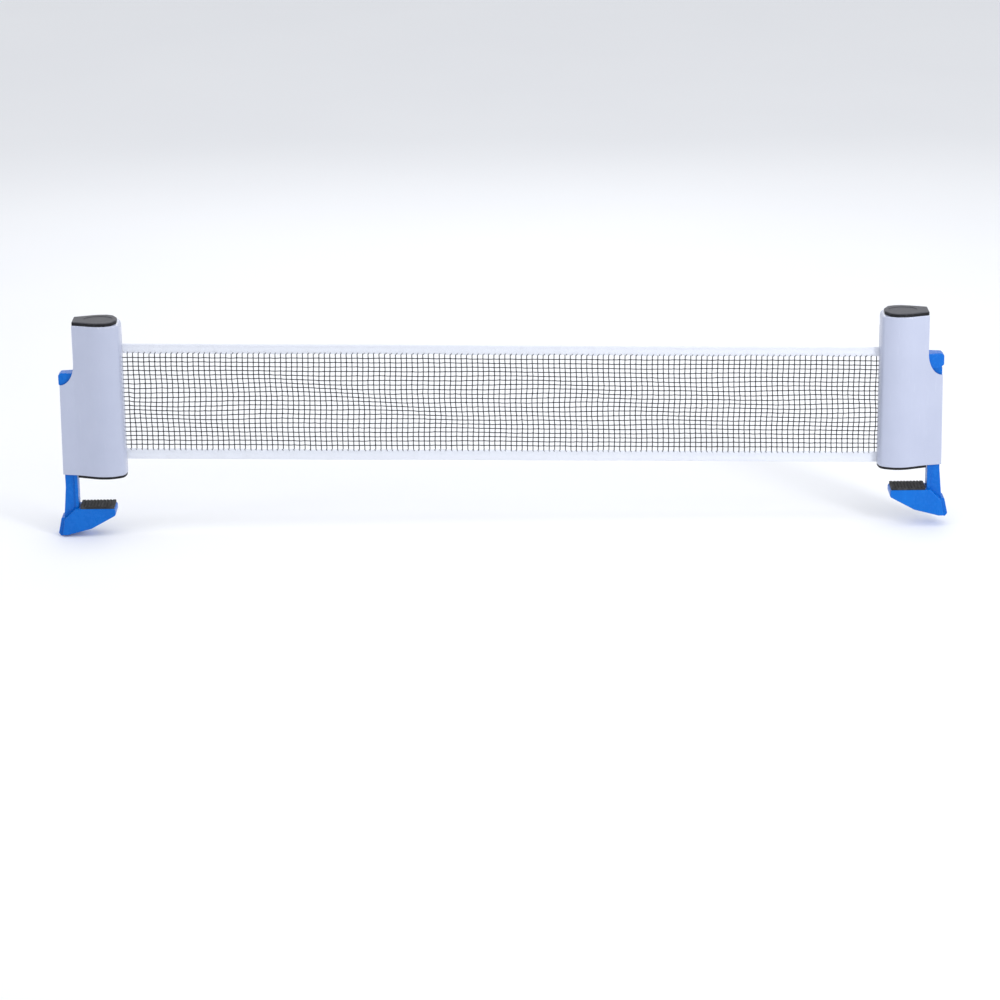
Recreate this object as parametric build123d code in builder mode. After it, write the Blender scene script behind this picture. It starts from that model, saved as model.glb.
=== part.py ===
"""Retractable table tennis net set: two clamp-on posts with the net stretched between them.

Millimetres. The origin is on the left post's roller axis at the table top, +X runs along the net to the
right post and +Z runs up. Each post is drawn in its own frame: u runs outwards from the roller axis, away
from the net, v runs across the post, and z runs up from the table top.
"""
import os
from math import acos, cos, sin

from build123d import *

# The set as a whole
NET_SPAN = 923.0  # between the noses of the two posts
NOSE = 20.5  # from the roller axis to the nose
POST_SPACING = NET_SPAN + 2 * NOSE
POSTS = {
    "left": Plane(origin=(0, 0, 0), x_dir=(-1, 0, 0), z_dir=(0, 0, 1)),
    "right": Plane(origin=(POST_SPACING, 0, 0), x_dir=(1, 0, 0), z_dir=(0, 0, 1)),
}
CLAMP_DROP = {"left": 12.0, "right": 0.0}  # how much further down the left clamp stands

# The post's section, from its blunt nose to its thin tail: (u, half thickness)
NOSE_CORNER = (-17.6, 13.5)
CREST = (4.5, 20.5)
SHOULDER = (17.6, 18.56)
HEAD_END = (38.5, 12.2)
TAIL_END = (58.6, 8.8)
NOSE_ROUND = 8.0
WAIST_ROUND = 40.0

# Heights of the post
FOOT_TOP = 4.0
HOUSING_TOP = 196.0
CAP_HEIGHT = 4.6
NOTCH_TOP = 148.0
NOTCH_CORNER = (57.0, 119.0)  # (u, z) where the thumb notch meets the tail
TAIL_BOTTOM = 58.2  # u of the tail at the foot
NOSE_TOP_ROUND = (5.9, 7.4)  # along u, along z

# Mouldings
WALL = 2.2
RIM_ROUND = 1.2
TOP_WALL = 2.5
GAP = 0.1  # between pieces fixed to each other
RUNNING = 0.35  # between the slider and its guides
COVER_HALF = 9.3
COVER_TOP = 187.6
COVER_DEPTH = 8.0  # how far the strip's curved edges reach back from the nose
COVER_SIDE_GAP = 0.15
COVER_LIP = 1.2  # thickness of the lip behind the housing's wall
COVER_LIP_REACH = 2.2  # how far the lip stands out beyond the strip
COVER_LIP_INSET = 2.0  # from the strip's ends
SLOT_HALF = 1.2
SLOT_TOP = 181.5
NOSE_BLOCK = 10.0  # how far the solid top of the nose reaches back
CHANNEL_HALF = 6.7
RAIL_U = 46.4
RAIL_WIDTH = 2.0
RAIL_TOP = 100.0
PARTITION_U = HEAD_END[0] - WALL / 2

# Foot, screws and cap
FOOT_INSET = 0.4
FOOT_END = 39.2
PAD_HEIGHT = 2.2
SOLE = 0.8  # how far the rubber pads stand below the plate
FOOT_PADS = ((0.0, 24.0), (30.0, 16.0))  # (u, length across the post)
PAD_WIDTH = 8.0
FOOT_SCREWS = ((18.0, 13.4), (18.0, -13.4))
SCREW_R = 1.25
SCREW_HEAD_R = 2.6
SCREW_TOP = 17.0
BOSS_R = 3.2
BOSS_TOP = 22.0
CAP_PEGS = ((23.0, 6.0), (23.0, -6.0), (-11.5, 9.0), (-11.5, -9.0))
CAP_PEG_R = 1.6
CAP_PEG_LENGTH = 4.0
CAP_OUTLINE = (  # half of it, from the nose round to the tail
    (-15.4, 0),
    (-15.4, 5.5),
    (-9.5, 15.8),
    (-2.0, 19.0),
    (8.0, 19.2),
    (17.3, 17.4),
    (38.1, 11.1),
    (38.1, 0),
)
CAP_CORNER = 4.0
CAP_RIM = 1.1
DISH_U = 7.0
DISH = (17.5, 11.5)  # half length, half width
DISH_DEPTH = 0.5

# Roller and net
ARBOR_R = 1.5
ROLLER_R = 6.0
ROLLER_BORE = 4.4
ROLLER_BOTTOM = 9.0
ROLLER_TOP = 190.6
ROLL_R = 12.0
BUSH_FLANGE_R = 5.6
BUSH_FIT = 0.05
SEAT_TOP = 6.2
NET_HEIGHT = 148.0
NET_BOTTOM = {"left": 21.0, "right": 5.0}
TOP_TAPE = 12.0
BOTTOM_TAPE = 13.0
MESH_THICK = 0.6
TAPE_THICK = 1.0
LEAD_IN_U = -16.5  # where the net turns from the roll into the slot
ROD_U = -13.9
ROD_R = 2.0
HEM_WALL = 0.6
HEM_CLEARANCE = 0.3

# Clamp slider, at the right post's height
TAB_BOTTOM = 127.5
TAB_TOP = 146.0
TAB_INNER = (39.0, 9.2)  # (u, half width)
TAB_OUTER = (58.4, 6.1)
JAW_HALF = 14.0
HEEL_HALF = 9.0
FLANGE_INNER = 41.0
FLANGE_OUTER = 45.0
FLANGE_HALF = 8.2
WEB_OUTER = 56.5
WEB_HALF = 6.0
SLIDER_ROUNDS = (  # (half width, edges beyond this u, longer than this, radius)
    (JAW_HALF, -10.0, 0.0, 1.5),
    (WEB_HALF, 56.0, 20.0, 1.0),
    (FLANGE_HALF, 40.0, 50.0, 0.6),
)
WINDOW = (28.4, 112.0)  # heights
WINDOW_OUTER = 52.0
WINDOW_HALF = 4.3
JAW_FACE = -25.0
JAW_PAD = 3.0
JAW_TIP = -4.5
JAW_ROOT = 39.0  # u where the pad stops short of the post
LEG_OUTER = 59.8  # the stem flares to this u below the table
LEG_BOTTOM = -60.0
HEEL_TIP = (67.2, -60.0)
HEEL_FOOT = (64.2, -64.0)
PAD_PEGS = (30.0, 2.0)
PAD_PEG_R = 2.0
PAD_PEG_LENGTH = 4.0
POCKETS = ((11.0, 6.4), (11.0, -6.4))
POCKET_SIZE = (24.0, 9.4)
JAW_SKIN = 3.2  # plastic left between the pockets and the pad

# Clamp spring
ANCHOR_BOTTOM = 52.0
ANCHOR_HEIGHT = 5.0
ANCHOR_HALF = 3.7
ANCHOR_END = 51.0
SPRING_U = 46.5
SPRING_R = 3.0
SPRING_WIRE_R = 0.45
SPRING_TURNS = 15
GUIDE_R = 1.4
GUIDE_LENGTH = 26.0


def save(piece, name):
    """Label a finished piece and write its STEP file."""
    piece.part.label = name
    export_step(piece.part, f"parts/{name}.step")


def place_of(edge, post, drop=0.0):
    """The middle of an edge in a post's own frame, lifted by drop."""
    middle = post.to_local_coords(edge.center())
    return middle.X, abs(middle.Y), middle.Z + drop


def side_view(post):
    """The plane through a post's middle, seen from its side: u to the right and z up."""
    return Plane(origin=post.origin, x_dir=post.x_dir, z_dir=-post.y_dir)


def post_section(plane, inset=0.0):
    """The post's section on a plane, moved in from its outside by inset."""
    with BuildSketch(plane) as section:
        with BuildLine():
            shoulder = TangentArc(CREST, SHOULDER, tangent=(1, 0))
            Polyline(shoulder @ 1, HEAD_END, TAIL_END, (TAIL_END[0], 0))
            TangentArc(CREST, NOSE_CORNER, tangent=(-1, 0))
            ThreePointArc(NOSE_CORNER, (-19.8, 6.8), (-NOSE, 0))
            mirror(about=Plane.XZ)
        make_face()
        corners = section.vertices()
        fillet(corners.filter_by_position(Axis.X, NOSE_CORNER[0] - 0.1, NOSE_CORNER[0] + 0.1), NOSE_ROUND)
        waist = section.vertices().filter_by_position(Axis.X, HEAD_END[0] - 0.1, HEAD_END[0] + 0.1)
        fillet(waist, WAIST_ROUND)
        if inset:
            offset(amount=-inset)
    return section.sketch


def section_between(plane, first_u, last_u, inset=0.0):
    """The stretch of the post's section between two values of u."""
    with BuildSketch(plane) as stretch:
        add(post_section(Plane.XY, inset))
        with Locations(((first_u + last_u) / 2, 0)):
            Rectangle(last_u - first_u, 60, mode=Mode.INTERSECT)
    return stretch.sketch


def make_housing(post, side):
    """The post's shell: hollow, open below, with a thumb notch and a channel for the clamp slider."""
    with BuildPart() as housing:
        extrude(post_section(post.offset(FOOT_TOP)), amount=HOUSING_TOP - FOOT_TOP)
        hollow = HOUSING_TOP - TOP_WALL - FOOT_TOP
        extrude(post_section(post.offset(FOOT_TOP), WALL), amount=hollow, mode=Mode.SUBTRACT)
        # The wall between the roller's chamber and the channel, which is also the head's outer wall
        wall = section_between(post.offset(FOOT_TOP), HEAD_END[0] - WALL, HEAD_END[0], WALL / 2)
        extrude(wall, amount=HOUSING_TOP - TOP_WALL / 2 - FOOT_TOP)
        # The solid top of the nose, above the slot cover
        block = section_between(post.offset(COVER_TOP), -NOSE, NOSE_BLOCK - NOSE, WALL / 2)
        extrude(block, amount=HOUSING_TOP - TOP_WALL / 2 - COVER_TOP)
        # Thumb notch, and the tail's slight slope below it
        with BuildSketch(side_view(post)):
            with BuildLine():
                reach = NOTCH_CORNER[0] - HEAD_END[0]
                drop = NOTCH_TOP - NOTCH_CORNER[1]
                Line((HEAD_END[0], HOUSING_TOP + 1), (HEAD_END[0], NOTCH_TOP))
                EllipticalCenterArc((NOTCH_CORNER[0], NOTCH_TOP), reach, drop, 180, arc_size=90)
                Polyline(
                    NOTCH_CORNER,
                    (TAIL_BOTTOM, FOOT_TOP - 1),
                    (70, FOOT_TOP - 1),
                    (70, HOUSING_TOP + 1),
                    (HEAD_END[0], HOUSING_TOP + 1),
                )
            make_face()
        extrude(amount=30, both=True, mode=Mode.SUBTRACT)
        # The nose's rounded top
        with BuildSketch(side_view(post)):
            with BuildLine():
                along, up = NOSE_TOP_ROUND
                centre = (along - NOSE, HOUSING_TOP - up)
                EllipticalCenterArc(centre, along, up, 90, arc_size=90)
                Polyline(
                    (-NOSE, centre[1]),
                    (-NOSE - 2, centre[1]),
                    (-NOSE - 2, HOUSING_TOP + 2),
                    (centre[0], HOUSING_TOP + 2),
                    (centre[0], HOUSING_TOP),
                )
            make_face()
        extrude(amount=30, both=True, mode=Mode.SUBTRACT)
        # The channel is open at the tail, between two cheeks
        with BuildSketch(post.offset(FOOT_TOP)):
            with Locations((TAIL_END[0], 0)):
                Rectangle(10, 2 * CHANNEL_HALF)
        extrude(amount=NOTCH_TOP - FOOT_TOP, mode=Mode.SUBTRACT)
        # Rails that hold the slider's flange in the channel
        with BuildSketch(post.offset(FOOT_TOP)):
            rail_inner = WEB_HALF + RUNNING
            rail_outer = CHANNEL_HALF + WALL + 0.6
            with Locations((RAIL_U, (rail_inner + rail_outer) / 2), (RAIL_U, -(rail_inner + rail_outer) / 2)):
                Rectangle(RAIL_WIDTH, rail_outer - rail_inner)
        extrude(amount=RAIL_TOP - FOOT_TOP)
        # Front opening for the slot cover
        with BuildSketch(post.offset(FOOT_TOP)):
            with Locations((-NOSE, 0)):
                Rectangle(2 * WALL + 3, 2 * COVER_HALF)
        extrude(amount=COVER_TOP - FOOT_TOP, mode=Mode.SUBTRACT)
        # Screw bosses
        with BuildSketch(post.offset(FOOT_TOP)):
            with Locations(*FOOT_SCREWS):
                Circle(BOSS_R)
        extrude(amount=BOSS_TOP - FOOT_TOP)
        with BuildSketch(post.offset(FOOT_TOP)):
            with Locations(*FOOT_SCREWS):
                Circle(SCREW_R + BUSH_FIT)
        extrude(amount=BOSS_TOP - 2 - FOOT_TOP, mode=Mode.SUBTRACT)
        # Window in the partition for the spring anchor
        with BuildSketch(side_view(post)):
            with Locations((PARTITION_U, ANCHOR_BOTTOM + ANCHOR_HEIGHT / 2)):
                Rectangle(2 * WALL, ANCHOR_HEIGHT + 2 * GAP)
        extrude(amount=ANCHOR_HALF + GAP, both=True, mode=Mode.SUBTRACT)
        # Holes in the top wall for the cap's pegs
        with BuildSketch(post.offset(HOUSING_TOP)):
            with Locations(*CAP_PEGS):
                Circle(CAP_PEG_R + GAP)
        extrude(amount=-CAP_PEG_LENGTH - 1, mode=Mode.SUBTRACT)
        if side == "left":
            with BuildSketch(post.offset(HOUSING_TOP)):
                Circle(ARBOR_R + BUSH_FIT)
            extrude(amount=-TOP_WALL, mode=Mode.SUBTRACT)
        else:
            with BuildSketch(post.offset(COVER_TOP)):
                with Locations((ROD_U, 0)):
                    Circle(ROD_R + BUSH_FIT)
            extrude(amount=4, mode=Mode.SUBTRACT)
        # Softened rim and tail
        fillet(housing.faces().sort_by(Axis.Z)[-1].outer_wire().edges(), RIM_ROUND)
        long_edges = housing.edges().filter_by(lambda edge: edge.length > 50)
        tail = [edge for edge in long_edges if place_of(edge, post)[0] > NOTCH_CORNER[0] - 1]
        fillet([edge for edge in tail if place_of(edge, post)[1] > CHANNEL_HALF + 1], RIM_ROUND)
    return housing


def make_slot_cover(post):
    """The clip-in strip in the post's nose, with the slot that the net passes through."""
    bottom = FOOT_TOP + GAP
    height = COVER_TOP - GAP - bottom
    back = COVER_DEPTH - NOSE
    strip_width = 2 * (COVER_HALF - COVER_SIDE_GAP)
    with BuildPart() as cover:
        with BuildSketch(post.offset(bottom)):
            add(section_between(Plane.XY, -NOSE, back))
            add(section_between(Plane.XY, -NOSE, back, WALL), mode=Mode.SUBTRACT)
            Rectangle(60, strip_width, mode=Mode.INTERSECT)
        extrude(amount=height)
        # A wider lip behind the housing's wall holds the strip in
        with BuildSketch(post.offset(bottom + COVER_LIP_INSET)):
            add(section_between(Plane.XY, -NOSE, back, WALL))
            add(section_between(Plane.XY, -NOSE, back, WALL + COVER_LIP), mode=Mode.SUBTRACT)
            Rectangle(60, strip_width, mode=Mode.INTERSECT)
        extrude(amount=height - 2 * COVER_LIP_INSET)
        with BuildSketch(post.offset(bottom + COVER_LIP_INSET)):
            add(section_between(Plane.XY, -NOSE, back, WALL + GAP))
            add(section_between(Plane.XY, -NOSE, back, WALL + COVER_LIP), mode=Mode.SUBTRACT)
            Rectangle(60, 2 * (COVER_HALF + COVER_LIP_REACH), mode=Mode.INTERSECT)
        extrude(amount=height - 2 * COVER_LIP_INSET)
        with BuildSketch(side_view(post)):
            with Locations((-NOSE, (bottom + SLOT_TOP) / 2)):
                Rectangle(20, SLOT_TOP - bottom)
        extrude(amount=SLOT_HALF, both=True, mode=Mode.SUBTRACT)
    return cover


def make_top_cap(post):
    """The black cap: it stands in from the housing's edge and has a shallow oval dish on top."""
    with BuildPart() as cap:
        with BuildSketch(post.offset(HOUSING_TOP)) as plan:
            with BuildLine():
                Polyline(*CAP_OUTLINE)
                mirror(about=Plane.XZ)
            make_face()
            rounded = plan.vertices().filter_by_position(Axis.X, -16, 20)
            rounded = rounded.filter_by(lambda corner: abs(corner.Y) > 1)
            fillet(rounded, CAP_CORNER)
        extrude(amount=CAP_HEIGHT)
        fillet(cap.faces().sort_by(Axis.Z)[-1].edges(), CAP_RIM)
        with BuildSketch(post.offset(HOUSING_TOP + CAP_HEIGHT)):
            with Locations((DISH_U, 0)):
                Ellipse(*DISH)
        extrude(amount=-DISH_DEPTH, mode=Mode.SUBTRACT)
        with BuildSketch(post.offset(HOUSING_TOP)):
            with Locations(*CAP_PEGS):
                Circle(CAP_PEG_R)
        extrude(amount=-CAP_PEG_LENGTH)
    return cap


def make_foot(post, side):
    """The black foot plate, screwed up into the housing; the roller's seat or the net rod's socket is on it."""
    with BuildPart() as foot:
        plate = section_between(post.offset(SOLE), -NOSE, FOOT_END, FOOT_INSET)
        extrude(plate, amount=FOOT_TOP - SOLE)
        with BuildSketch(post.offset(SOLE)):
            for pad_u, pad_length in FOOT_PADS:
                with Locations((pad_u, 0)):
                    SlotOverall(pad_length + 2 * GAP, PAD_WIDTH + 2 * GAP, rotation=90)
        extrude(amount=PAD_HEIGHT - SOLE, mode=Mode.SUBTRACT)
        for screw_u, screw_v in FOOT_SCREWS:
            with Locations(post.location * Location((screw_u, screw_v, SOLE), (180, 0, 0))):
                CounterSinkHole(SCREW_R + BUSH_FIT, SCREW_HEAD_R + GAP, depth=FOOT_TOP)
        if side == "left":
            with BuildSketch(post.offset(FOOT_TOP)):
                Circle(BUSH_FLANGE_R + 1.5)
            extrude(amount=SEAT_TOP - FOOT_TOP)
        else:
            with BuildSketch(post.offset(FOOT_TOP)):
                with Locations((ROD_U, 0)):
                    Circle(ROD_R + BUSH_FIT)
            extrude(amount=-2, mode=Mode.SUBTRACT)
    return foot


def make_foot_pads(post):
    """Two oval rubber pads under the foot plate, which the post stands on."""
    with BuildPart() as pads:
        with BuildSketch(post):
            for pad_u, pad_length in FOOT_PADS:
                with Locations((pad_u, 0)):
                    SlotOverall(pad_length, PAD_WIDTH, rotation=90)
        extrude(amount=PAD_HEIGHT - GAP)
    return pads


def make_foot_screws(post):
    """Two countersunk screws that hold the foot plate, with cross recesses."""
    with BuildPart() as screws:
        for screw_u, screw_v in FOOT_SCREWS:
            with BuildSketch(post.offset(SOLE + 0.1)):
                with Locations((screw_u, screw_v)):
                    Circle(SCREW_HEAD_R)
            with BuildSketch(post.offset(SOLE + 0.1 + SCREW_HEAD_R - SCREW_R)):
                with Locations((screw_u, screw_v)):
                    Circle(SCREW_R)
            loft()
            with BuildSketch(post.offset(SOLE + 0.1 + SCREW_HEAD_R - SCREW_R)):
                with Locations((screw_u, screw_v)):
                    Circle(SCREW_R)
            extrude(amount=SCREW_TOP - SOLE - SCREW_HEAD_R + SCREW_R)
            with BuildSketch(post.offset(SOLE + 0.1)):
                with Locations((screw_u, screw_v)):
                    Rectangle(2.6, 0.6)
                    Rectangle(0.6, 2.6)
            extrude(amount=0.8, mode=Mode.SUBTRACT)
    return screws


def make_spring_anchor(post):
    """The lug that the clamp spring stands on: it passes through the partition from a flange inside."""
    middle = ANCHOR_BOTTOM + ANCHOR_HEIGHT / 2
    flange_outer = HEAD_END[0] - WALL - GAP
    with BuildPart() as anchor:
        with BuildSketch(side_view(post)):
            with Locations(((flange_outer + ANCHOR_END) / 2, middle)):
                Rectangle(ANCHOR_END - flange_outer, ANCHOR_HEIGHT)
        extrude(amount=ANCHOR_HALF, both=True)
        with BuildSketch(side_view(post)):
            with Locations((flange_outer - 1, middle)):
                Rectangle(2, ANCHOR_HEIGHT + 8)
        extrude(amount=6, both=True)
        with BuildSketch(post.offset(ANCHOR_BOTTOM + 1)):
            with Locations((SPRING_U, 0)):
                Circle(GUIDE_R + BUSH_FIT)
        extrude(amount=ANCHOR_HEIGHT, mode=Mode.SUBTRACT)
    return anchor


def make_spring_guide(post):
    """The steel pin that keeps the clamp spring straight."""
    with BuildPart() as guide:
        with BuildSketch(post.offset(ANCHOR_BOTTOM + 1)):
            with Locations((SPRING_U, 0)):
                Circle(GUIDE_R)
        extrude(amount=ANCHOR_HEIGHT - 1 + GUIDE_LENGTH)
        chamfer(guide.faces().sort_by(Axis.Z)[-1].edges(), 0.4)
    return guide


def make_clamp_spring(post, drop):
    """The compression spring between the anchor and the top of the slider's window."""
    bottom = ANCHOR_BOTTOM + ANCHOR_HEIGHT + SPRING_WIRE_R + 0.05
    length = WINDOW[1] - drop - bottom - SPRING_WIRE_R - 0.05
    axis = Plane(origin=post.from_local_coords((SPRING_U, 0, bottom)), x_dir=post.x_dir, z_dir=post.z_dir)
    with BuildPart() as spring:
        with BuildLine(axis) as coil:
            Helix(pitch=length / SPRING_TURNS, height=length, radius=SPRING_R)
        with BuildSketch(Plane(origin=coil.line @ 0, z_dir=coil.line % 0)):
            Circle(SPRING_WIRE_R)
        sweep(path=coil.line)
    return spring


def make_clamp_slider(post, drop):
    """The blue slider: thumb tab, stem with a window for the spring, leg, jaw and heel in one moulding."""
    view = side_view(post)
    with BuildPart() as slider:
        # Web of the stem, with the leg's slight flare and the heel below
        with BuildSketch(view):
            with BuildLine():
                Polyline(
                    (FLANGE_INNER, TAB_BOTTOM - drop),
                    (WEB_OUTER, TAB_BOTTOM - drop),
                    (WEB_OUTER, -2 - drop),
                    (LEG_OUTER, -40 - drop),
                    (LEG_OUTER, LEG_BOTTOM - drop),
                    (FLANGE_INNER, LEG_BOTTOM - drop),
                    (FLANGE_INNER, TAB_BOTTOM - drop),
                )
            make_face()
        extrude(amount=WEB_HALF, both=True)
        # Flange that runs behind the housing's rails
        with BuildSketch(post.offset(-40 - drop)):
            with Locations(((FLANGE_INNER + FLANGE_OUTER) / 2, 0)):
                Rectangle(FLANGE_OUTER - FLANGE_INNER, 2 * FLANGE_HALF)
        extrude(amount=TAB_BOTTOM + 40)
        # Thumb tab
        with BuildSketch(post.offset(TAB_BOTTOM - drop)):
            Polygon(
                TAB_INNER,
                TAB_OUTER,
                (TAB_OUTER[0], -TAB_OUTER[1]),
                (TAB_INNER[0], -TAB_INNER[1]),
                align=None,
            )
        extrude(amount=TAB_TOP - TAB_BOTTOM)
        with BuildSketch(view):
            with BuildLine():
                Polyline(
                    (TAB_OUTER[0] - 4.5, TAB_BOTTOM - drop),
                    (TAB_OUTER[0], TAB_BOTTOM + 4.2 - drop),
                    (TAB_OUTER[0] + 5, TAB_BOTTOM + 4.2 - drop),
                    (TAB_OUTER[0] + 5, TAB_BOTTOM - drop),
                    (TAB_OUTER[0] - 4.5, TAB_BOTTOM - drop),
                )
            make_face()
            with BuildLine():
                Polyline(
                    (TAB_OUTER[0] - 3.0, TAB_TOP - drop),
                    (TAB_OUTER[0], TAB_TOP - 3.2 - drop),
                    (TAB_OUTER[0] + 5, TAB_TOP - 3.2 - drop),
                    (TAB_OUTER[0] + 5, TAB_TOP - drop),
                    (TAB_OUTER[0] - 3.0, TAB_TOP - drop),
                )
            make_face()
        extrude(amount=20, both=True, mode=Mode.SUBTRACT)
        # Jaw
        arm_top = JAW_FACE - JAW_PAD - drop
        with BuildSketch(view) as arm:
            with BuildLine():
                Polyline(
                    (59.0, arm_top - 14),
                    (FLANGE_OUTER, arm_top),
                    (JAW_TIP, arm_top),
                    (JAW_TIP, arm_top - 9),
                    (26, arm_top - 26),
                    (56, arm_top - 34),
                    (62, arm_top - 34),
                    (59.0, arm_top - 14),
                )
            make_face()
            fillet(arm.vertices().group_by(Axis.X)[0], 3)
        extrude(amount=JAW_HALF, both=True)
        # Heel
        with BuildSketch(view) as heel:
            with BuildLine():
                Polyline(
                    (56, -40 - drop),
                    (63, -40 - drop),
                    (HEEL_TIP[0], HEEL_TIP[1] - drop),
                    (HEEL_FOOT[0], HEEL_FOOT[1] - drop),
                    (56, -62 - drop),
                    (56, -40 - drop),
                )
            make_face()
            fillet(heel.vertices().filter_by_position(Axis.X, 62, 68), 2.2)
        extrude(amount=HEEL_HALF, both=True)
        # Window for the spring and its anchor, open towards the net
        with BuildSketch(view):
            with Locations(((FLANGE_INNER - 5 + WINDOW_OUTER) / 2, (WINDOW[0] + WINDOW[1]) / 2 - drop)):
                Rectangle(WINDOW_OUTER - FLANGE_INNER + 5, WINDOW[1] - WINDOW[0])
        extrude(amount=WINDOW_HALF, both=True, mode=Mode.SUBTRACT)
        # Lightening pockets under the jaw, and holes for the pad's pegs
        with BuildSketch(post.offset(LEG_BOTTOM - drop)):
            with Locations(*POCKETS):
                Rectangle(*POCKET_SIZE)
        extrude(amount=arm_top - JAW_SKIN - LEG_BOTTOM + drop, mode=Mode.SUBTRACT)
        with BuildSketch(post.offset(arm_top)):
            for peg_u in PAD_PEGS:
                with Locations((peg_u, 0)):
                    Circle(PAD_PEG_R + BUSH_FIT)
        extrude(amount=-PAD_PEG_LENGTH - 0.2, mode=Mode.SUBTRACT)
        # Softened edges
        fillet(slider.faces().sort_by(Axis.Z)[-1].edges(), 1.2)
        for half_width, lowest, longest, radius in SLIDER_ROUNDS:
            chosen = []
            for edge in slider.edges():
                u, v, z = place_of(edge, post, drop)
                if abs(v - half_width) < 0.01 and u > lowest and edge.length > longest:
                    chosen.append(edge)
            fillet(chosen, radius)
    return slider


def make_jaw_pad(post, drop):
    """The ribbed rubber pad on the jaw, held by two pegs."""
    face = JAW_FACE - drop
    with BuildPart() as pad:
        with BuildSketch(post.offset(face - JAW_PAD)):
            with Locations(((JAW_TIP + 1.5 + JAW_ROOT) / 2, 0)):
                RectangleRounded(JAW_ROOT - JAW_TIP - 1.5, 2 * JAW_HALF - 2, 2)
        extrude(amount=JAW_PAD)
        with BuildSketch(post.offset(face)):
            with Locations((18, 0)):
                with GridLocations(4, 1, 9, 1):
                    Rectangle(1.2, 2 * JAW_HALF)
        extrude(amount=-0.8, mode=Mode.SUBTRACT)
        with BuildSketch(post.offset(face - JAW_PAD)):
            for peg_u in PAD_PEGS:
                with Locations((peg_u, 0)):
                    Circle(PAD_PEG_R)
        extrude(amount=-PAD_PEG_LENGTH)
    return pad


def make_tube(plane, height, outer_r, inner_r):
    """A round tube that stands on a plane."""
    with BuildPart() as tube:
        with BuildSketch(plane):
            Circle(outer_r)
            Circle(inner_r, mode=Mode.SUBTRACT)
        extrude(amount=height)
    return tube


def make_bush(post, flange_bottom, flange_height, journal_bottom, journal_height):
    """A bush for one end of the roller: a flange on the post and a journal inside the tube."""
    with BuildPart() as bush:
        with BuildSketch(post.offset(flange_bottom)):
            Circle(BUSH_FLANGE_R)
        extrude(amount=flange_height)
        with BuildSketch(post.offset(journal_bottom)):
            Circle(ROLLER_BORE - BUSH_FIT)
        extrude(amount=journal_height)
        with BuildSketch(post.offset(min(flange_bottom, journal_bottom))):
            Circle(ARBOR_R + BUSH_FIT)
        extrude(amount=flange_height + journal_height, mode=Mode.SUBTRACT)
    return bush


def make_net_strip(low, high, thick):
    """A level strip of the net, from its lead on the roll, through the slot, to the hem at the far post.

    low and high are heights above the net's lower edge.
    """
    lead_in = -LEAD_IN_U
    reach = ROLL_R + 0.3 + TAPE_THICK / 2
    angle = acos(reach / lead_in)
    tangent_point = (reach * cos(angle), reach * sin(angle))
    hem_edge = POST_SPACING + ROD_U - ROD_R - HEM_CLEARANCE - HEM_WALL - GAP
    left = NET_BOTTOM["left"]
    right = NET_BOTTOM["right"]
    with BuildPart() as strip:
        with BuildSketch(Plane.XY.offset(left + low)):
            with BuildLine():
                Polyline(tangent_point, (lead_in, 0), (lead_in + 1, 0))
            trace(line_width=thick)
        extrude(amount=high - low)
        with BuildSketch(Plane.XZ):
            Polygon(
                (lead_in, left + low),
                (hem_edge, right + low),
                (hem_edge, right + high),
                (lead_in, left + high),
                align=None,
            )
        extrude(amount=thick / 2, both=True)
    return strip


os.makedirs("parts", exist_ok=True)

for side, post in POSTS.items():
    drop = CLAMP_DROP[side]
    save(make_housing(post, side), f"{side}_housing")
    save(make_slot_cover(post), f"{side}_slot_cover")
    save(make_top_cap(post), f"{side}_top_cap")
    save(make_foot(post, side), f"{side}_foot")
    save(make_foot_pads(post), f"{side}_foot_pads")
    save(make_foot_screws(post), f"{side}_foot_screws")
    save(make_spring_anchor(post), f"{side}_spring_anchor")
    save(make_spring_guide(post), f"{side}_spring_guide")
    save(make_clamp_spring(post, drop), f"{side}_clamp_spring")
    save(make_clamp_slider(post, drop), f"{side}_clamp_slider")
    save(make_jaw_pad(post, drop), f"{side}_jaw_pad")

# The roller in the left post: a tube on two bushes, turned by a spring around a fixed arbor
left_post = POSTS["left"]
with BuildPart() as roller_arbor:
    with BuildSketch(left_post.offset(SEAT_TOP)):
        Circle(ARBOR_R)
    extrude(amount=HOUSING_TOP - GAP - SEAT_TOP)
save(roller_arbor, "roller_arbor")
save(make_bush(left_post, SEAT_TOP, 2.5, SEAT_TOP + 2.5, 6), "roller_bottom_bush")
save(make_bush(left_post, ROLLER_TOP + 0.3, 2.6, ROLLER_TOP - 5.7, 6), "roller_top_bush")
roller_length = ROLLER_TOP - ROLLER_BOTTOM
save(make_tube(left_post.offset(ROLLER_BOTTOM), roller_length, ROLLER_R, ROLLER_BORE), "net_roller")
save(make_tube(left_post.offset(20), 100, ROLLER_BORE - 0.9, ROLLER_BORE - 1.8), "roller_spring")
roll_bottom = left_post.offset(NET_BOTTOM["left"])
save(make_tube(roll_bottom, NET_HEIGHT, ROLL_R, ROLLER_R + 0.02), "net_roll")

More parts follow.
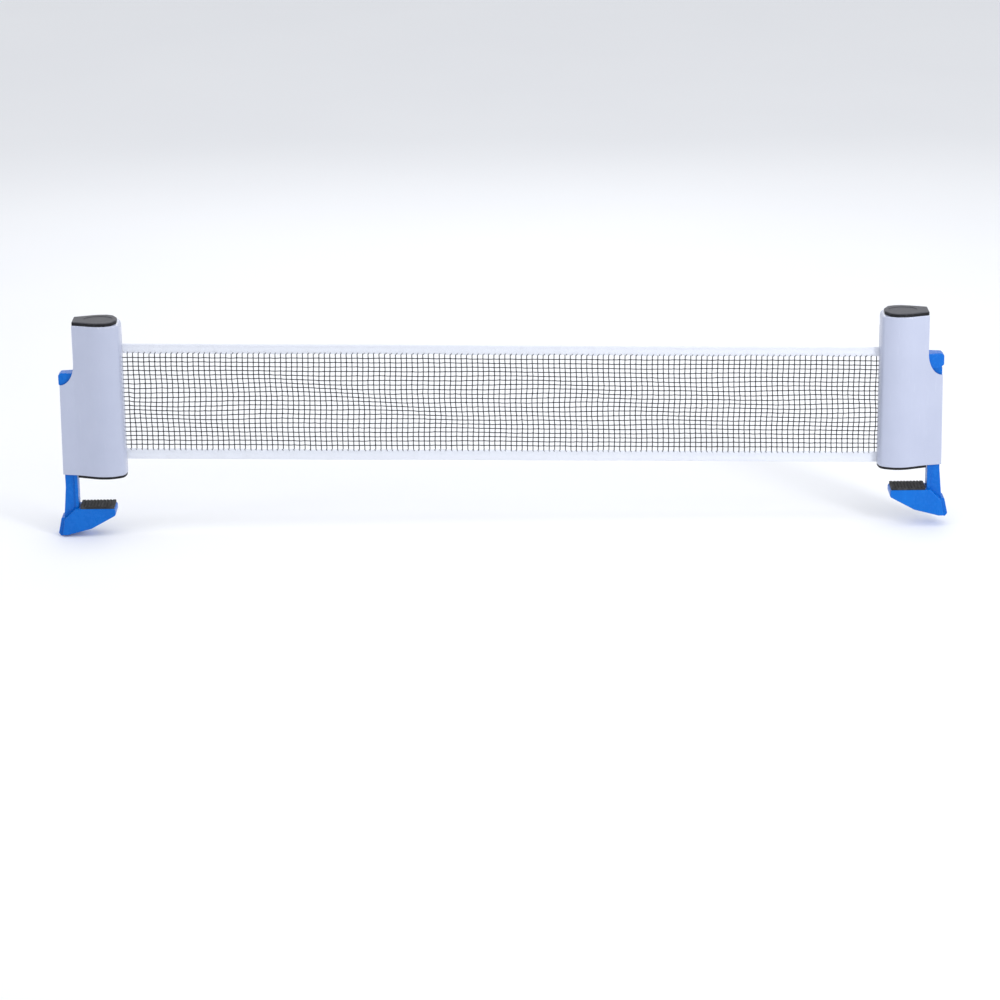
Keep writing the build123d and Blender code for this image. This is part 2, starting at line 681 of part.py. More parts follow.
# The net: mesh between two tapes, and the hem that holds it on the rod in the right post
save(make_net_strip(0, BOTTOM_TAPE, TAPE_THICK), "net_bottom_tape")
save(make_net_strip(BOTTOM_TAPE, NET_HEIGHT - TOP_TAPE, MESH_THICK), "net_mesh")
save(make_net_strip(NET_HEIGHT - TOP_TAPE, NET_HEIGHT, TAPE_THICK), "net_top_tape")
right_post = POSTS["right"]
rod_axis = Plane(origin=right_post.from_local_coords((ROD_U, 0, 0)))
hem_bore = ROD_R + HEM_CLEARANCE
hem = make_tube(rod_axis.offset(NET_BOTTOM["right"]), NET_HEIGHT, hem_bore + HEM_WALL, hem_bore)
save(hem, "net_end_hem")
with BuildPart() as net_end_rod:
    with BuildSketch(rod_axis.offset(FOOT_TOP - 1.9)):
        Circle(ROD_R)
    extrude(amount=COVER_TOP + 3.8 - FOOT_TOP + 1.9)
save(net_end_rod, "net_end_rod")
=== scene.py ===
import math
import random

import bmesh
import bpy
import numpy as np
from mathutils import Matrix, Vector


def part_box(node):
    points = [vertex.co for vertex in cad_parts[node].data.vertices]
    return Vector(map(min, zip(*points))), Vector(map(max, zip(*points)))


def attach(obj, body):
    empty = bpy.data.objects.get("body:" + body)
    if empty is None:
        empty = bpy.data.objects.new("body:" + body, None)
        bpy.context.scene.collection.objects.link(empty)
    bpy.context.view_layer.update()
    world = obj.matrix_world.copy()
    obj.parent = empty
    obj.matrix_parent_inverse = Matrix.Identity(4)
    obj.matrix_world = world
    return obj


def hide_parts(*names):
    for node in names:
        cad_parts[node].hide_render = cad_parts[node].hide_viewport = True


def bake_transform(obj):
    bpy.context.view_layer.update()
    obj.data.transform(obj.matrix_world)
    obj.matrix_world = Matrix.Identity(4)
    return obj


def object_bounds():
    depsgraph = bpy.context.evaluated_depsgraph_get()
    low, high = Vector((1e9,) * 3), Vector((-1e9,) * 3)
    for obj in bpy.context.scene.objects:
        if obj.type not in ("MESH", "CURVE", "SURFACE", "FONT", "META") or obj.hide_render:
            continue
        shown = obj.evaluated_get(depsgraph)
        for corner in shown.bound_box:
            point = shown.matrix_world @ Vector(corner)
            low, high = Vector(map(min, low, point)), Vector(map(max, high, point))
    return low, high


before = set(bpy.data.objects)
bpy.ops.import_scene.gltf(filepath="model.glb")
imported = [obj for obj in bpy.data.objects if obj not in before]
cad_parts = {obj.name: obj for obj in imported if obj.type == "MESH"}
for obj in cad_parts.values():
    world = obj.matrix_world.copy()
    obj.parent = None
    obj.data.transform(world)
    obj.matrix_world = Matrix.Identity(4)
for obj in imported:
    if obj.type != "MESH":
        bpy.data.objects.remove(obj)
cad_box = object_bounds()

# ---------------------------------------------------------------------------------------------------
# Post shells: the two hollow posts and the slotted strips clipped into their noses. They are injection
# moulded in a light silver-grey plastic with a fine satin grain, and scuffed a little near the table.
# ---------------------------------------------------------------------------------------------------


class Term:
    """One output in a node tree, used in sums as a number is."""

    def __init__(self, nodes, socket):
        self.nodes = nodes
        self.socket = socket

    def __add__(self, other):
        return self.nodes.sum("ADD", self, other)

    def __sub__(self, other):
        return self.nodes.sum("SUBTRACT", self, other)

    def __rsub__(self, other):
        return self.nodes.sum("SUBTRACT", other, self)

    def __mul__(self, other):
        return self.nodes.sum("MULTIPLY", self, other)

    def __mod__(self, other):
        return self.nodes.sum("FLOORED_MODULO", self, other)

    __radd__ = __add__
    __rmul__ = __mul__


class Nodes:
    """A node tree that is written as sums. add() makes any node in it."""

    def __init__(self, tree):
        self.tree = tree

    def add(self, kind, settings=None, sockets=None, out=0):
        made = self.tree.nodes.new(kind)
        for name, value in (settings or {}).items():
            setattr(made, name, value)
        for name, value in (sockets or {}).items():
            if isinstance(value, Term):
                self.tree.links.new(value.socket, made.inputs[name])
            else:
                made.inputs[name].default_value = value
        return Term(self, made.outputs[out])

    def sum(self, operation, *terms):
        return self.add("ShaderNodeMath", {"operation": operation}, dict(enumerate(terms)))


class Finish(Nodes):
    """A material: its patterns are laid out on the piece's own coordinates, in metres."""

    def __init__(self, name):
        self.material = bpy.data.materials.new(name)
        self.material.use_nodes = True
        super().__init__(self.material.node_tree)
        self.tree.nodes.clear()
        self.place = self.add("ShaderNodeTexCoord", out="Object")
        self.x = self.add("ShaderNodeSeparateXYZ", sockets={"Vector": self.place}, out="X")
        self.y = self.add("ShaderNodeSeparateXYZ", sockets={"Vector": self.place}, out="Y")
        self.z = self.add("ShaderNodeSeparateXYZ", sockets={"Vector": self.place}, out="Z")

    def noise(self, size, detail=2.0, along=(1, 1, 1)):
        """Cloudy noise whose lumps are about size metres across; along squeezes it on each axis."""
        spread = self.add(
            "ShaderNodeVectorMath", {"operation": "MULTIPLY"}, {0: self.place, 1: along}
        )
        return self.add(
            "ShaderNodeTexNoise", sockets={"Vector": spread, "Scale": 1 / size, "Detail": detail}
        )

    def step(self, value, low, high):
        """0 below low, 1 above high and smooth between them."""
        return self.add(
            "ShaderNodeMapRange",
            {"interpolation_type": "SMOOTHSTEP"},
            {"Value": value, "From Min": low, "From Max": high},
        )

    def ribs(self, value, pitch):
        """Ridges, 0 to 1, that repeat every pitch metres."""
        return self.sum("SINE", value * (math.tau / pitch)) * 0.5 + 0.5

    def mix(self, share, first, second):
        return self.add(
            "ShaderNodeMix",
            {"data_type": "RGBA", "clamp_factor": True},
            {0: share, 6: self.opaque(first), 7: self.opaque(second)},
            out=2,
        )

    def opaque(self, colour):
        return (*colour, 1) if isinstance(colour, tuple) else colour

    def coat_with(self, colour, roughness, height, depth, **fixed):
        """Join everything to the shader; height is a bump pattern, depth metres deep."""
        bump = self.add("ShaderNodeBump", sockets={"Height": height, "Distance": depth}, out="Normal")
        sockets = {"Base Color": colour, "Roughness": roughness, "Normal": bump}
        sockets.update({name.replace("_", " "): value for name, value in fixed.items()})
        shader = self.add("ShaderNodeBsdfPrincipled", sockets=sockets)
        output = self.tree.nodes.new("ShaderNodeOutputMaterial")
        self.tree.links.new(shader.socket, output.inputs["Surface"])
        return self.material


def give(material, *names):
    """Put a finish on CAD pieces."""
    for name in names:
        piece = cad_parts[name]
        piece.data.materials.clear()
        piece.data.materials.append(material)


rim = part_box("left_housing")[1][2]
shell = Finish("satin_silver_plastic")
grain = shell.noise(0.0006, 3)
cloud = shell.noise(0.03, 3)
flow = shell.noise(0.012, 2, (1, 1, 0.12))
low_scuffs = (1 - shell.step(shell.z, 0.004, 0.018)) * shell.step(shell.noise(0.002, 5), 0.52, 0.7)
rim_scuffs = shell.step(shell.z, rim - 0.004, rim) * shell.step(shell.noise(0.0022, 4), 0.5, 0.7)
hairlines = shell.step(shell.noise(0.0016, 2, (1, 1, 0.05)), 0.69, 0.74)
shell_colour = shell.mix(cloud * 0.8, (0.395, 0.43, 0.565), (0.46, 0.495, 0.63))
shell_colour = shell.mix(flow * 0.25, shell_colour, (0.48, 0.515, 0.65))
shell_colour = shell.mix(low_scuffs * 0.2, shell_colour, (0.34, 0.35, 0.40))
shell_colour = shell.mix(rim_scuffs * 0.4 + hairlines * 0.1, shell_colour, (0.80, 0.82, 0.90))
shell_roughness = cloud * 0.08 + 0.27 + low_scuffs * 0.2 + rim_scuffs * 0.15 + hairlines * 0.1
silver_plastic = shell.coat_with(
    shell_colour,
    shell_roughness,
    grain * 0.6 + flow * 0.4 - hairlines * 0.25,
    0.00004,
    Coat_Weight=0.6,
    Coat_Roughness=0.12,
)
give(silver_plastic, "left_housing", "right_housing", "left_slot_cover", "right_slot_cover")

# ---------------------------------------------------------------------------------------------------
# Caps, feet, spring anchors and the net's rod: moulded in satin black plastic. The caps are pressed on by
# pegs and have a shallow oval dish on top; the foot plates are screwed on from below. The caps' flat tops
# are painted a lighter grey: a painted highlight for the light the top catches from above.
# ---------------------------------------------------------------------------------------------------

black = Finish("satin_black_plastic")
leather = black.noise(0.0009, 4)
haze = black.noise(0.02, 3)
scratches = black.step(black.noise(0.0012, 3, (0.12, 1, 1)), 0.66, 0.72)
dust = black.step(black.noise(0.0035, 6), 0.52, 0.75)
cap_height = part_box("left_top_cap")[1][2]
# Painted highlight: the cap's top face is painted lighter grey, and made a little rougher, than its
# near-black sides, standing in for the light the top catches from above.
cap_top_painted_highlight = black.step(black.z, cap_height - 0.0013, cap_height - 0.0006)
black_colour = black.mix(haze, (0.004, 0.004, 0.005), (0.011, 0.011, 0.013))
black_colour = black.mix(cap_top_painted_highlight * 0.75, black_colour, (0.095, 0.095, 0.108))
black_colour = black.mix(dust * 0.12 + scratches * 0.2, black_colour, (0.22, 0.22, 0.25))
black_plastic = black.coat_with(
    black_colour,
    haze * 0.12 + 0.30 + dust * 0.12 + cap_top_painted_highlight * 0.12,
    leather - scratches * 0.5,
    0.00006,
    Specular_IOR_Level=0.2,
)
give(black_plastic, "left_top_cap", "right_top_cap", "left_foot", "right_foot")
give(black_plastic, "left_spring_anchor", "right_spring_anchor", "net_end_rod")

# ---------------------------------------------------------------------------------------------------
# Clamp sliders: thumb tab, stem, leg and jaw in one blue moulding on each side. The plastic is glossy
# with faint flow lines, and paler where thumbs and the table's edge have rubbed it.
# ---------------------------------------------------------------------------------------------------

blue = Finish("blue_plastic")
swirl = blue.noise(0.018, 4, (1, 1, 0.3))
pores = blue.noise(0.0007, 3)
rubbed = blue.step(blue.noise(0.004, 5), 0.5, 0.72)
blue_colour = blue.mix(swirl, (0.000, 0.108, 0.49), (0.001, 0.155, 0.61))
blue_colour = blue.mix(rubbed * 0.14, blue_colour, (0.02, 0.23, 0.72))
blue_plastic = blue.coat_with(
    blue_colour,
    swirl * 0.1 + 0.22 + rubbed * 0.14,
    pores * 0.5 + swirl * 0.5,
    0.00005,
    Specular_IOR_Level=0.16,
    Coat_Weight=0.05,
    Coat_Roughness=0.15,
)
give(blue_plastic, "left_clamp_slider", "right_clamp_slider")

# ---------------------------------------------------------------------------------------------------
# Jaw pads and foot pads: moulded black rubber, matt and slightly dusty. The jaw pads grip the table from
# below and are held by two pegs; the oval foot pads stand on it.
# ---------------------------------------------------------------------------------------------------

rubber = Finish("black_rubber")
crumb = rubber.noise(0.0005, 4)
bloom = rubber.step(rubber.noise(0.009, 5), 0.42, 0.7)
rubber_colour = rubber.mix(bloom, (0.012, 0.012, 0.013), (0.050, 0.050, 0.053))
black_rubber = rubber.coat_with(rubber_colour, crumb * 0.1 + 0.68 + bloom * 0.1, crumb, 0.00012)
give(black_rubber, "left_jaw_pad", "right_jaw_pad", "left_foot_pads", "right_foot_pads")

# ---------------------------------------------------------------------------------------------------
# Foot screws, spring guide pins and the roller's arbor: zinc-plated steel, turned or rolled, with fine
# rings round them and a few dull spots in the plating.
# ---------------------------------------------------------------------------------------------------

steel = Finish("zinc_plated_steel")
turning = steel.ribs(steel.z + steel.noise(0.002, 2) * 0.0003, 0.00045)
tarnish = steel.step(steel.noise(0.0018, 5), 0.5, 0.75)
steel_colour = steel.mix(tarnish, (0.64, 0.65, 0.68), (0.40, 0.40, 0.41))
zinc_steel = steel.coat_with(
    steel_colour, turning * 0.06 + 0.24 + tarnish * 0.22, turning, 0.00003, Metallic=1.0
)
give(zinc_steel, "left_foot_screws", "right_foot_screws", "left_spring_guide", "right_spring_guide")
give(zinc_steel, "roller_arbor")

# ---------------------------------------------------------------------------------------------------
# Roller tube and its two bushes inside the left post: a grey extruded tube, with lines drawn along it by
# the die, on white acetal bushes that have a waxy look.
# ---------------------------------------------------------------------------------------------------

extrusion = Finish("grey_extruded_tube")
die_lines = extrusion.noise(0.0008, 3, (1, 1, 0.01))
tube_stain = extrusion.noise(0.01, 3)
tube_colour = extrusion.mix(tube_stain, (0.24, 0.25, 0.27), (0.33, 0.34, 0.36))
grey_tube = extrusion.coat_with(tube_colour, die_lines * 0.14 + 0.34, die_lines, 0.00006)
give(grey_tube, "net_roller")

acetal = Finish("white_acetal")
wax = acetal.noise(0.004, 3)
acetal_turning = acetal.ribs(acetal.z, 0.0004)
acetal_colour = acetal.mix(wax, (0.72, 0.71, 0.66), (0.82, 0.82, 0.78))
white_acetal = acetal.coat_with(acetal_colour, wax * 0.1 + 0.36, acetal_turning, 0.00002)
give(white_acetal, "roller_bottom_bush", "roller_top_bush")

# ---------------------------------------------------------------------------------------------------
# Springs: one compression spring in each post pushes the clamp up, and a long coil inside the roller winds
# the net in. All are bright spring wire, wound at an even pitch from end to end.
# ---------------------------------------------------------------------------------------------------


def new_piece(name, mesh):
    piece = bpy.data.objects.new(name, mesh)
    bpy.context.scene.collection.objects.link(piece)
    return piece


def geometry_tree(name, sizes):
    """A Geometry Nodes tree with named sizes, as its Nodes and its inputs."""
    group = bpy.data.node_groups.new(name, "GeometryNodeTree")
    group.interface.new_socket("Geometry", in_out="INPUT", socket_type="NodeSocketGeometry")
    for label, value in sizes.items():
        kind = "NodeSocketInt" if isinstance(value, int) else "NodeSocketFloat"
        group.interface.new_socket(label, in_out="INPUT", socket_type=kind).default_value = value
    group.interface.new_socket("Geometry", in_out="OUTPUT", socket_type="NodeSocketGeometry")
    nodes = Nodes(group)
    entry = group.nodes.new("NodeGroupInput")
    return nodes, {socket.name: Term(nodes, socket) for socket in entry.outputs if socket.name}


def end_tree(nodes, shape, material):
    """Close a tree: smooth faces, made real, in one material."""
    smooth = nodes.add("GeometryNodeSetShadeSmooth", sockets={"Geometry": shape})
    real = nodes.add("GeometryNodeRealizeInstances", sockets={"Geometry": smooth})
    coated = nodes.add("GeometryNodeSetMaterial", sockets={"Geometry": real, "Material": material})
    leave = nodes.tree.nodes.new("NodeGroupOutput")
    nodes.tree.links.new(coated.socket, leave.inputs["Geometry"])
    return nodes.tree


def grow(name, points, edges, tree, sizes):
    """Run a tree on points and edges, and keep the result as a plain mesh."""
    seed = bpy.data.meshes.new(name)
    seed.from_pydata([tuple(point) for point in points], edges, [])
    piece = new_piece(name, seed)
    modifier = piece.modifiers.new("grow", "NODES")
    modifier.node_group = tree
    for item in tree.interface.items_tree:
        if item.in_out == "INPUT" and item.name in sizes:
            modifier[item.identifier] = sizes[item.name]
    made = bpy.data.meshes.new_from_object(piece.evaluated_get(bpy.context.evaluated_depsgraph_get()))
    piece.modifiers.remove(modifier)
    piece.data = made
    bpy.data.meshes.remove(seed)
    return piece


def stretch_evenly(piece, start, end):
    """Work out where a piece's points would sit to undo an eased blend from one place to another.

    The blend eases in and out, which would bunch the piece up at its ends. The places that undo the easing
    are worked out, the piece's transform is baked, and its true places are then put back.
    """
    count = len(piece.data.vertices)
    true_places = np.empty(count * 3)
    piece.data.vertices.foreach_get("co", true_places)
    start, end = np.array(start), np.array(end)
    reach = end - start
    places = true_places.reshape(-1, 3)
    share = np.clip((places - start) @ reach / (reach @ reach), 0, 1)
    eased = 0.5 - np.sin(np.arcsin(1 - 2 * share) / 3)
    moved = places + np.outer(eased - share, reach)
    piece.data.vertices.foreach_set("co", moved.ravel())
    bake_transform(piece)
    piece.data.vertices.foreach_set("co", true_places)
    piece.data.update()


wire = Finish("bright_spring_wire")
drawn = wire.noise(0.0006, 3)
heat = wire.noise(0.006, 2)
wire_colour = wire.mix(heat, (0.50, 0.51, 0.54), (0.62, 0.62, 0.63))
spring_wire = wire.coat_with(wire_colour, drawn * 0.12 + 0.18, drawn, 0.00002, Metallic=1.0)

coil_sizes = {"Turns": 15.0, "Radius": 0.003, "Height": 0.05, "Wire": 0.00045, "Steps": 24}
coil, size = geometry_tree("wound_spring", coil_sizes)
spiral = coil.add(
    "GeometryNodeCurveSpiral",
    sockets={
        "Resolution": size["Steps"],
        "Rotations": size["Turns"],
        "Start Radius": size["Radius"],
        "End Radius": size["Radius"],
        "Height": size["Height"],
    },
)
wire_section = coil.add(
    "GeometryNodeCurvePrimitiveCircle", sockets={"Resolution": 8, "Radius": size["Wire"]}
)
coil_shape = coil.add(
    "GeometryNodeCurveToMesh",
    sockets={"Curve": spiral, "Profile Curve": wire_section, "Fill Caps": True},
)
coil_tree = end_tree(coil, coil_shape, spring_wire)


def make_spring(name, turns, steps):
    """A spring in the place of the CAD node of that name."""
    low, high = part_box(name)
    wire_radius = coil_sizes["Wire"]
    radius = (high[0] - low[0]) / 2 - wire_radius
    height = high[2] - low[2] - 2 * wire_radius
    sizes = {"Turns": float(turns), "Radius": radius, "Height": height, "Steps": steps}
    spring = grow(name + "_coil", [(0, 0, 0)], [], coil_tree, sizes)
    centre = ((low[0] + high[0]) / 2, (low[1] + high[1]) / 2, low[2] + wire_radius)
    spring.data.transform(Matrix.Translation(centre))
    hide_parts(name)
    return spring, low, high


CLAMP_TURNS = 15
ROLLER_TURNS = 70
for side in ("left", "right"):
    clamp_spring, low, high = make_spring(side + "_clamp_spring", CLAMP_TURNS, 24)
    middle = [(low[0] + high[0]) / 2, (low[1] + high[1]) / 2]
    stretch_evenly(clamp_spring, (*middle, low[2]), (*middle, high[2]))

roller_coil = make_spring("roller_spring", ROLLER_TURNS, 12)[0]
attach(roller_coil, "roller")

# ---------------------------------------------------------------------------------------------------
# The net's mesh: thin black twine, knotted into small upright cells. It runs from the roll in the left
# post, out through the slot and straight across to the hem in the right post, a little lower there.
# ---------------------------------------------------------------------------------------------------

roll_low, roll_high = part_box("net_roll")
hem_low, hem_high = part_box("net_end_hem")
mesh_low, mesh_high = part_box("net_mesh")
NET_HEIGHT = roll_high[2] - roll_low[2]
BOTTOM_TAPE = 0.013
TOP_TAPE = 0.012
LEAD_IN = 0.0165
LEAD_START = (mesh_low[0] + 0.0003, mesh_high[1] - 0.0003)
LEAD_LENGTH = math.hypot(LEAD_IN - LEAD_START[0], LEAD_START[1])
NET_LENGTH = LEAD_LENGTH + mesh_high[0] - LEAD_IN
NET_FALL = roll_low[2] - hem_low[2]
COLUMNS = 141
ROWS = 22
TWINE_RADIUS = 0.0006
KNOT_RADIUS = 0.00102
KNOT_SEED = 12
WEAVE_OFFSET = 0.0002
TUCK = 0.003


def drape(along, up):
    """How far the cloth stands forward at a place on the net, in metres."""
    taut = math.sin(math.pi * min(max((along - LEAD_LENGTH) / (NET_LENGTH - LEAD_LENGTH), 0), 1))
    wave = math.sin(along * 9.1 + up * 14) + 0.6 * math.sin(along * 23.7 - up * 31 + 1.3)
    return 0.0007 * taut * wave


def on_net(along, up, forward=0.0):
    """A place on the net: metres along it from the roll, up from its lower edge, and towards the front."""
    if along < LEAD_LENGTH:
        share = along / LEAD_LENGTH
        x = LEAD_START[0] + share * (LEAD_IN - LEAD_START[0])
        y = LEAD_START[1] * (1 - share)
        z = roll_low[2] + up
        across = (LEAD_START[1] / LEAD_LENGTH, (LEAD_IN - LEAD_START[0]) / LEAD_LENGTH)
        return np.array([x - forward * across[0], y - forward * across[1], z])
    x = LEAD_IN + along - LEAD_LENGTH
    fall = NET_FALL * (x - LEAD_IN) / (mesh_high[0] - LEAD_IN)
    return np.array([x, -forward - drape(along, up), roll_low[2] - fall + up])


twine = Finish("black_twine")
lay = twine.ribs(twine.x + twine.z + twine.y * 1.3, 0.0011)
fuzz = twine.noise(0.0004, 3)
wear = twine.noise(0.05, 3)
twine_colour = twine.mix(lay * 0.8, (0.003, 0.003, 0.004), (0.018, 0.018, 0.022))
twine_colour = twine.mix(fuzz * wear * 0.35, twine_colour, (0.06, 0.06, 0.07))
black_twine = twine.coat_with(
    twine_colour,
    fuzz * 0.15 + 0.6,
    lay + fuzz * 0.4,
    0.00015,
    Specular_IOR_Level=0.25,
)

knot_places = {}
chance = random.Random(31)
mesh_up = NET_HEIGHT - TOP_TAPE - BOTTOM_TAPE
for column in range(COLUMNS + 1):
    lean = chance.uniform(-0.00025, 0.00025)
    for row in range(ROWS + 1):
        along = NET_LENGTH * column / COLUMNS
        up = BOTTOM_TAPE + mesh_up * row / ROWS
        inner = math.sin(math.pi * row / ROWS)
        ripple = 0.0009 * math.sin(along * 17 + row * 0.35) + 0.0005 * math.sin(along * 41 + row * 0.8)
        kink = 0.0012 * math.exp(-(((along - 0.19) / 0.05) ** 2)) * inner
        shift_up = inner * ripple + kink + chance.uniform(-0.00022, 0.00022) * (inner > 0.01)
        sway = 0.0008 * math.sin(row * 0.5 + along * 11) * inner + lean * inner
        sway += chance.uniform(-0.00025, 0.00025) * inner
        inside = 1.0 if LEAD_LENGTH + 0.01 < along < NET_LENGTH - 0.004 else 0.0
        knot_places[column, row] = (along + sway * inside, up + shift_up * inside)

twine_tree_nodes, size = geometry_tree("twines", {"Radius": TWINE_RADIUS, "Sides": 5})
twine_path = twine_tree_nodes.add("GeometryNodeMeshToCurve", sockets={"Mesh": size["Geometry"]})
twine_section = twine_tree_nodes.add(
    "GeometryNodeCurvePrimitiveCircle",
    sockets={"Resolution": size["Sides"], "Radius": size["Radius"]},
)
twine_shape = twine_tree_nodes.add(
    "GeometryNodeCurveToMesh",
    sockets={"Curve": twine_path, "Profile Curve": twine_section, "Fill Caps": True},
)
twine_tree = end_tree(twine_tree_nodes, twine_shape, black_twine)


def chain(points, edges, line):
    """Add a line of points, joined in order."""
    first = len(points)
    points.extend(line)
    edges.extend((at, at + 1) for at in range(first, first + len(line) - 1))


def between(first, second, sag):
    """Halfway between two knots, sagging a little."""
    return ((first[0] + second[0]) / 2, (first[1] + second[1]) / 2 - sag)


points, edges = [], []
for row in range(1, ROWS):
    line = []
    for column in range(COLUMNS + 1):
        here = knot_places[column, row]
        line.append(on_net(*here, WEAVE_OFFSET * (-1) ** column))
        if column < COLUMNS:
            sag = chance.uniform(0.00002, 0.00022)
            line.append(on_net(*between(here, knot_places[column + 1, row], sag)))
    chain(points, edges, line)
for column in range(COLUMNS + 1):
    line = [on_net(knot_places[column, 0][0], BOTTOM_TAPE - TUCK)]
    for row in range(ROWS + 1):
        here = knot_places[column, row]
        line.append(on_net(*here, -WEAVE_OFFSET * (-1) ** row))
        if row < ROWS:
            middle = between(here, knot_places[column, row + 1], 0)
            line.append(on_net(middle[0] + chance.uniform(-0.00012, 0.00012), middle[1]))
    line.append(on_net(knot_places[column, ROWS][0], NET_HEIGHT - TOP_TAPE + TUCK))
    chain(points, edges, line)
net_twines = grow("net_twines", points, edges, twine_tree, {"Radius": TWINE_RADIUS, "Sides": 5})

knot_sizes = {"Radius": KNOT_RADIUS, "Seed": KNOT_SEED}
knot_tree_nodes, size = geometry_tree("knots", knot_sizes)
knot = knot_tree_nodes.add(
    "GeometryNodeMeshUVSphere", sockets={"Segments": 7, "Rings": 5, "Radius": size["Radius"]}
)
turn = knot_tree_nodes.add(
    "FunctionNodeRandomValue",
    {"data_type": "FLOAT_VECTOR"},
    {0: (-0.5, -0.9, -0.5), 1: (0.5, 0.9, 0.5), "Seed": size["Seed"]},
)
turned = knot_tree_nodes.add("FunctionNodeEulerToRotation", sockets={0: turn})
swell = knot_tree_nodes.add(
    "FunctionNodeRandomValue",
    {"data_type": "FLOAT_VECTOR"},
    {0: (0.85, 0.75, 0.75), 1: (1.15, 0.95, 1.05), "Seed": size["Seed"]},
)
knots = knot_tree_nodes.add(
    "GeometryNodeInstanceOnPoints",
    sockets={"Points": size["Geometry"], "Instance": knot, "Rotation": turned, "Scale": swell},
)
knot_tree = end_tree(knot_tree_nodes, knots, black_twine)
places = [on_net(*knot_places[c, r]) for c in range(COLUMNS + 1) for r in range(1, ROWS)]
net_knots = grow("net_knots", places, [], knot_tree, knot_sizes)

dash_sizes = {"Length": 0.0012, "Radius": 0.0003, "Slant": 0.6}


def dash_tree(name, segments, rings, material):
    """Short slim dashes on points, that slant to one side and the other in turn."""
    nodes, size = geometry_tree(name, dash_sizes)
    dash = nodes.add(
        "GeometryNodeMeshUVSphere", sockets={"Segments": segments, "Rings": rings, "Radius": 1.0}
    )
    slim = nodes.add(
        "ShaderNodeCombineXYZ", sockets={0: size["Radius"], 1: size["Radius"], 2: size["Length"]}
    )
    side = (nodes.add("GeometryNodeInputIndex") % 2.0) * 2.0 - 1.0
    slant = nodes.add("ShaderNodeCombineXYZ", sockets={1: side * size["Slant"]})
    turn = nodes.add("FunctionNodeEulerToRotation", sockets={0: slant})
    sockets = {"Points": size["Geometry"], "Instance": dash, "Rotation": turn, "Scale": slim}
    dashes = nodes.add("GeometryNodeInstanceOnPoints", sockets=sockets)
    return end_tree(nodes, dashes, material)


# The twines' cut ends, caught slantwise under the tapes' stitching
tail_tree = dash_tree("dashes", 6, 5, black_twine)
places = []
for column in range(3, COLUMNS - 1):
    along = knot_places[column, 0][0] + chance.uniform(-0.0008, 0.0008)
    places.append(on_net(along, BOTTOM_TAPE - 0.0006, 0.0007))
    places.append(on_net(along + 0.0012, NET_HEIGHT - TOP_TAPE + 0.0005, 0.0007))
net_tails = grow("net_tails", places, [], tail_tree, {"Length": 0.0015, "Radius": 0.0004, "Slant": 0.55})

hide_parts("net_mesh")
NOSE_LEFT = (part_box("left_slot_cover")[1][0], 0, 0.09)
NOSE_RIGHT = (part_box("right_slot_cover")[0][0], 0, 0.09)
for piece in (net_twines, net_knots, net_tails):
    stretch_evenly(piece, NOSE_LEFT, NOSE_RIGHT)

# ---------------------------------------------------------------------------------------------------
# Tapes: a white woven tape is folded over the head cord along the net's top, and a wider one edges the
# bottom. Both are sewn through the mesh with rows of white stitches, some zigzag and some straight.
# ---------------------------------------------------------------------------------------------------

cloth = Finish("white_woven_tape")
warp = cloth.ribs(cloth.x, 0.00085)
weft = cloth.ribs(cloth.z + cloth.x * 0.011, 0.0007)
slub = cloth.noise(0.0007, 3, (0.25, 1, 1))
soil = cloth.step(cloth.noise(0.02, 4), 0.45, 0.75)
weave = warp * weft + (1 - warp) * (1 - weft)
cloth_colour = cloth.mix(weave, (0.65, 0.68, 0.77), (0.81, 0.835, 0.90))
cloth_colour = cloth.mix(slub * 0.3, cloth_colour, (0.85, 0.87, 0.92))
cloth_colour = cloth.mix(soil * 0.12, cloth_colour, (0.55, 0.56, 0.60))
white_tape = cloth.coat_with(
    cloth_colour,
    slub * 0.12 + 0.62,
    weave * 0.8 + slub * 0.5,
    0.00016,
    Sheen_Weight=0.2,
    Sheen_Roughness=0.5,
)


def skin(name, rings, looped=False):
    """A smooth closed skin over rings of places: capped at both ends, or looped back to the first ring."""
    body = bmesh.new()
    rows = [[body.verts.new(place) for place in ring] for ring in rings]
    for first, second in zip(rows, rows[1:] + rows[:1] if looped else rows[1:]):
        for at in range(len(first)):
            after = (at + 1) % len(first)
            body.faces.new((first[at], first[after], second[after], second[at]))
    if not looped:
        body.faces.new(rows[0])
        body.faces.new(rows[-1][::-1])
    bmesh.ops.recalc_face_normals(body, faces=body.faces)
    mesh = bpy.data.meshes.new(name)
    body.to_mesh(mesh)
    body.free()
    for face in mesh.polygons:
        face.use_smooth = True
    return new_piece(name, mesh)


def sew_band(name, section, stations):
    """A closed strip of cloth; section gives (forward, up) pairs in order round it at each station."""
    return skin(name, [[on_net(at, up, forward) for forward, up in section(at)] for at in stations])


def pucker(along, up, amount=0.00022):
    """The little hollows that stitches pull in a tape."""
    return amount * math.sin(along * math.tau / 0.0044 + up * 900) * math.sin(along * 151 + 0.7)


CORD_RADIUS = 0.00125
TOP_HALF = 0.00055
FOLD_HEIGHT = 0.0086


def top_section(along):
    """Folded over the head cord: two flat layers below a round bead."""
    low = NET_HEIGHT - TOP_TAPE
    edge = low + 0.00035 * math.sin(along * 83) + 0.0002 * math.sin(along * 211)
    front = [(TOP_HALF + pucker(along, up), up) for up in np.linspace(edge, low + FOLD_HEIGHT, 6)]
    bead = []
    for angle in np.linspace(-0.6, math.pi + 0.6, 9):
        rise = NET_HEIGHT - CORD_RADIUS + CORD_RADIUS * math.sin(angle)
        bead.append((CORD_RADIUS * math.cos(angle), rise))
    falling = np.linspace(low + FOLD_HEIGHT, edge, 6)
    back = [(-TOP_HALF + pucker(along, up + 0.001), up) for up in falling]
    return front + bead + back


